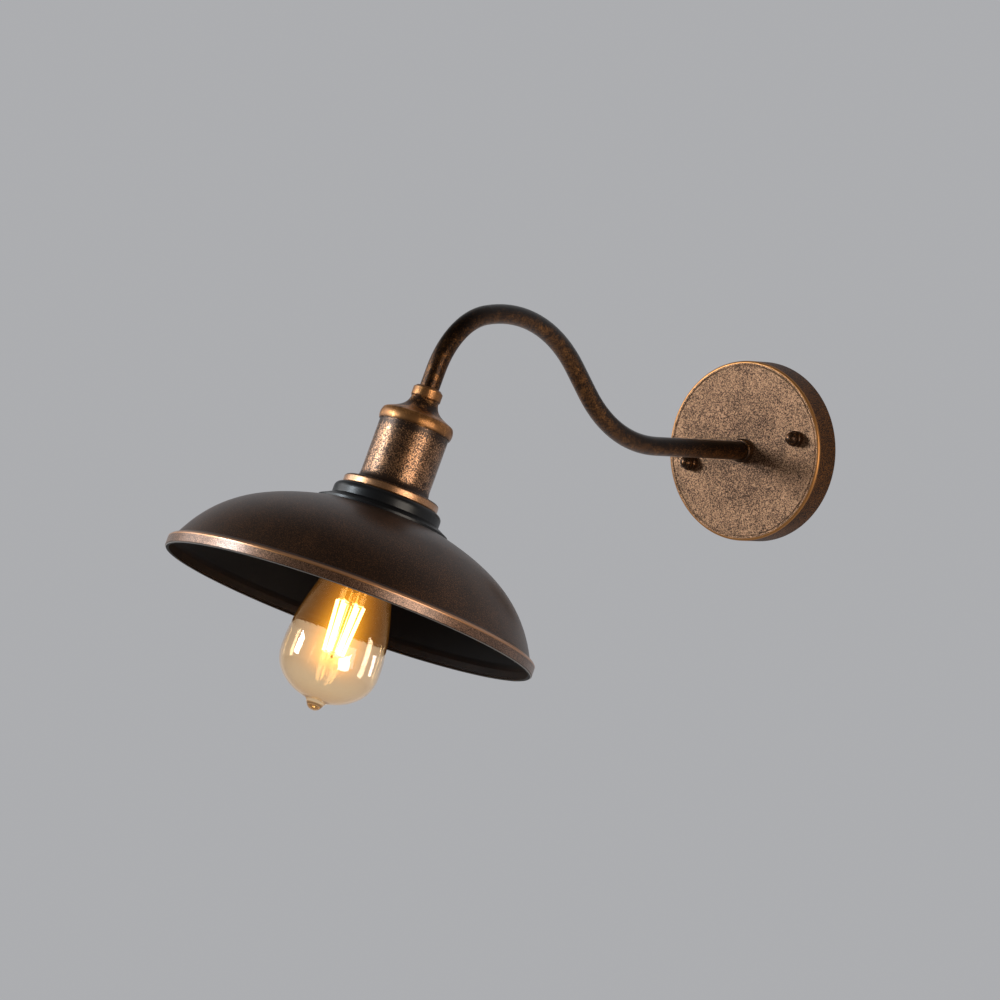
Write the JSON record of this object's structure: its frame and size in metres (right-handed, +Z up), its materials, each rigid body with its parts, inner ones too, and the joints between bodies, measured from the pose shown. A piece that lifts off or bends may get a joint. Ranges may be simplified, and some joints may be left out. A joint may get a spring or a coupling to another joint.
{
  "type": "wall sconce",
  "caption": "Gooseneck wall sconce: round canopy, bent steel tube arm, socket cup, domed steel shade open downwards and a pear-shaped screw-base filament bulb.",
  "frame": {"origin": "centre of the canopy's back, on the wall's surface, at the centre of the two wall screws", "axes": "+Z up, +Y into the wall, so that the lamp reaches out along -Y; the arm lies in the plane x = 0"},
  "size_m": [0.243, 0.5429, 0.2629],
  "materials": {
    "canopy_copper": "antique copper, mottled, satin",
    "cap_nut_dark": "dark bronze, satin",
    "arm_rust": "dark brown with copper dust",
    "copper_trim": "satin antique copper",
    "sleeve_rust": "dark brown with strong copper speckle",
    "shade_rust": "dark brown with copper dust outside, black inside",
    "zinc_steel": "zinc plated",
    "brass_part": "bare",
    "block_plastic": "moulded, matt",
    "wire_live": "black insulation",
    "wire_neutral": "white insulation",
    "porcelain": "unglazed, matt",
    "ring_plastic": "black phenolic",
    "nickel_shell": "nickel plated, bright",
    "amber_glass": "clear amber",
    "clear_glass": "clear",
    "filament_phosphor": "yellow phosphor coat",
    "black_glass": "black insulator",
    "solder": "dull solder"
  },
  "bodies": {
    "wall_side": {"canopy": "canopy_copper", "cap_nuts": "cap_nut_dark", "mounting_strap": "zinc_steel", "strap_studs": "zinc_steel", "stud_nuts": "zinc_steel", "earth_washer": "zinc_steel", "earth_screw": "brass_part", "terminal_block": "block_plastic", "terminal_barrels": "brass_part", "terminal_block_screws": "brass_part", "block_fixing_screw": "zinc_steel", "live_pigtail": "wire_live", "neutral_pigtail": "wire_neutral"},
    "arm": {"arm_tube": "arm_rust", "bracket_lock_nuts": "zinc_steel", "bracket_screws": "zinc_steel", "cap_lock_nut": "zinc_steel", "centre_contact": "brass_part", "contact_rivets": "brass_part", "end_nipple": "zinc_steel", "holder_bracket": "zinc_steel", "holder_terminal_screws": "brass_part", "holder_terminals": "brass_part", "lampholder_body": "porcelain", "live_wire": "wire_live", "neutral_wire": "wire_neutral", "root_collar": "copper_trim", "root_lock_nut": "zinc_steel", "root_nipple": "zinc_steel", "root_spring_washer": "zinc_steel", "root_washer": "zinc_steel", "screw_shell": "nickel_shell", "shade": "shade_rust", "shade_ring": "ring_plastic", "socket_cap": "copper_trim", "socket_sleeve": "sleeve_rust"},
    "bulb_travel": {"bulb_tip_contact": "solder"},
    "bulb": {"bulb_base_insulator": "black_glass", "bulb_base_shell": "nickel_shell", "bulb_filaments": "filament_phosphor", "bulb_glass": "amber_glass", "bulb_stem": "clear_glass", "bulb_support_wires": "nickel_shell"}
  },
  "joints": [
    {"name": "arm_swivel", "type": "hinge", "parent": "wall_side", "child": "arm", "pos_m": [0, 0, 0], "axis": [0, -1, 0], "range_deg": [-45, 45]},
    {"name": "bulb_advance", "type": "slide", "parent": "arm", "child": "bulb_travel", "axis": [0, -0.289, -0.9573], "range_m": [0, 0.0182]},
    {"name": "bulb_turn", "type": "hinge", "parent": "bulb_travel", "child": "bulb", "pos_m": [0, -0.42642, -0.11304], "axis": [0, -0.289, -0.9573], "range_deg": [0, 1800]}
  ],
  "couplings": [
    {"joint": "bulb_advance", "follows": "bulb_turn", "m_per_rad": 0.00057757}
  ]
}
